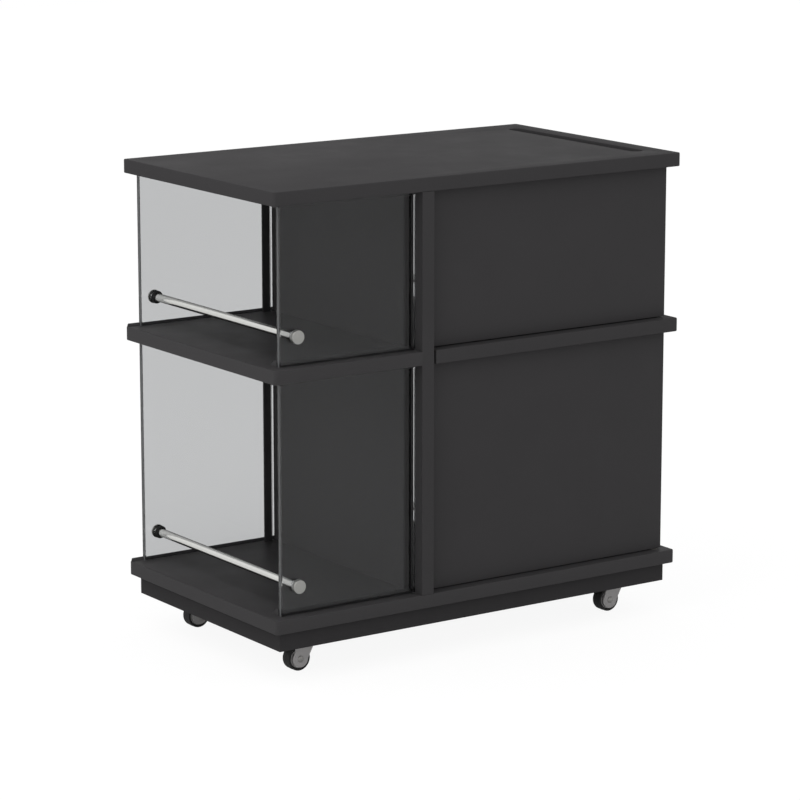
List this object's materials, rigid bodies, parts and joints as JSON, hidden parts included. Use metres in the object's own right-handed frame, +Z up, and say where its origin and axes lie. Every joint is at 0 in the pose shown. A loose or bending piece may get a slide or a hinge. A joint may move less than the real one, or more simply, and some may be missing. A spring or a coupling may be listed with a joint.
{
  "type": "tea trolley",
  "caption": "Low charcoal tea trolley on swivel casters, with an open bay between clear panels and a handle-less drawer and cupboard.",
  "frame": {"origin": "centre of the trolley's footprint, on the floor", "axes": "+X along the trolley, away from its open end; -Y is the front with the drawer and the door; +Z up"},
  "size_m": [0.704, 0.404, 0.694],
  "materials": {
    "charcoal_board": "matt charcoal lacquer on board",
    "drawer_box_board": "grey melamine",
    "raw_block": "dark stained block",
    "grey_glass": "clear grey-tinted sheet, polished edges",
    "charcoal_bead": "matt charcoal lacquer",
    "polished_steel": "fine-turned bright steel",
    "black_rubber": "matt",
    "zinc_steel": "zinc plated",
    "pale_nylon": "moulded nylon",
    "latch_plastic": "moulded",
    "grey_hub": "moulded grey",
    "black_tyre": "matt tread"
  },
  "bodies": {
    "trolley": {"top_board": "charcoal_board", "bottom_board": "charcoal_board", "left_shelf": "charcoal_board", "right_shelf": "charcoal_board", "divider_panel": "charcoal_board", "side_panel_upper": "charcoal_board", "side_panel_lower": "charcoal_board", "back_panel_upper": "charcoal_board", "back_panel_lower": "charcoal_board", "plinth_front": "charcoal_board", "plinth_rear": "charcoal_board", "plinth_left": "charcoal_board", "plinth_right": "charcoal_board", "caster_blocks": "raw_block", "glass_front_upper": "grey_glass", "glass_rear_upper": "grey_glass", "glass_front_lower": "grey_glass", "glass_rear_lower": "grey_glass", "bead_front_upper": "charcoal_bead", "bead_rear_upper": "charcoal_bead", "bead_front_lower": "charcoal_bead", "bead_rear_lower": "charcoal_bead", "rod_upper": "polished_steel", "rod_lower": "polished_steel", "rod_knobs_upper": "polished_steel", "rod_knobs_lower": "polished_steel", "rod_washers": "black_rubber", "runner_fixed_left": "zinc_steel", "runner_fixed_right": "zinc_steel", "pivot_bushes": "pale_nylon", "push_latch": "latch_plastic", "caster_plates": "zinc_steel"},
    "drawer": {"drawer_front": "charcoal_board", "drawer_side_left": "drawer_box_board", "drawer_side_right": "drawer_box_board", "drawer_back": "drawer_box_board", "drawer_bottom": "drawer_box_board", "runner_sliding_left": "zinc_steel", "runner_sliding_right": "zinc_steel"},
    "door": {"door_panel": "charcoal_board", "door_pivot_pins": "zinc_steel", "door_strike": "zinc_steel"},
    "latch_button": {"latch_tip": "latch_plastic"},
    "caster_front_left": {"caster_fork_front_left": "grey_hub", "caster_axle_front_left": "zinc_steel"},
    "wheel_front_left": {"caster_hub_front_left": "grey_hub", "caster_tyre_front_left": "black_tyre"},
    "caster_rear_left": {"caster_fork_rear_left": "grey_hub", "caster_axle_rear_left": "zinc_steel"},
    "wheel_rear_left": {"caster_hub_rear_left": "grey_hub", "caster_tyre_rear_left": "black_tyre"},
    "caster_front_right": {"caster_fork_front_right": "grey_hub", "caster_axle_front_right": "zinc_steel"},
    "wheel_front_right": {"caster_hub_front_right": "grey_hub", "caster_tyre_front_right": "black_tyre"},
    "caster_rear_right": {"caster_fork_rear_right": "grey_hub", "caster_axle_rear_right": "zinc_steel"},
    "wheel_rear_right": {"caster_hub_rear_right": "grey_hub", "caster_tyre_rear_right": "black_tyre"}
  },
  "joints": [
    {"name": "drawer_slide", "type": "slide", "parent": "trolley", "child": "drawer", "axis": [0, -1, 0], "range_m": [0, 0.24]},
    {"name": "door_hinge", "type": "hinge", "parent": "trolley", "child": "door", "pos_m": [0.33, -0.178, 0.263], "axis": [0, 0, 1], "range_deg": [0, 105]},
    {"name": "latch_push", "type": "slide", "parent": "trolley", "child": "latch_button", "axis": [0, 1, 0], "range_m": [0, 0.003]},
    {"name": "swivel_front_left", "type": "hinge", "parent": "trolley", "child": "caster_front_left", "pos_m": [-0.267, -0.134, 0.044], "axis": [0, 0, 1], "continuous": true},
    {"name": "roll_front_left", "type": "hinge", "parent": "caster_front_left", "child": "wheel_front_left", "pos_m": [-0.277, -0.134, 0.018], "axis": [0, 1, 0], "continuous": true},
    {"name": "swivel_rear_left", "type": "hinge", "parent": "trolley", "child": "caster_rear_left", "pos_m": [-0.267, 0.138, 0.044], "axis": [0, 0, 1], "continuous": true},
    {"name": "roll_rear_left", "type": "hinge", "parent": "caster_rear_left", "child": "wheel_rear_left", "pos_m": [-0.277, 0.138, 0.018], "axis": [0, 1, 0], "continuous": true},
    {"name": "swivel_front_right", "type": "hinge", "parent": "trolley", "child": "caster_front_right", "pos_m": [0.286, -0.134, 0.044], "axis": [0, 0, 1], "continuous": true},
    {"name": "roll_front_right", "type": "hinge", "parent": "caster_front_right", "child": "wheel_front_right", "pos_m": [0.276, -0.134, 0.018], "axis": [0, 1, 0], "continuous": true},
    {"name": "swivel_rear_right", "type": "hinge", "parent": "trolley", "child": "caster_rear_right", "pos_m": [0.286, 0.138, 0.044], "axis": [0, 0, 1], "continuous": true},
    {"name": "roll_rear_right", "type": "hinge", "parent": "caster_rear_right", "child": "wheel_rear_right", "pos_m": [0.276, 0.138, 0.018], "axis": [0, 1, 0], "continuous": true}
  ]
}
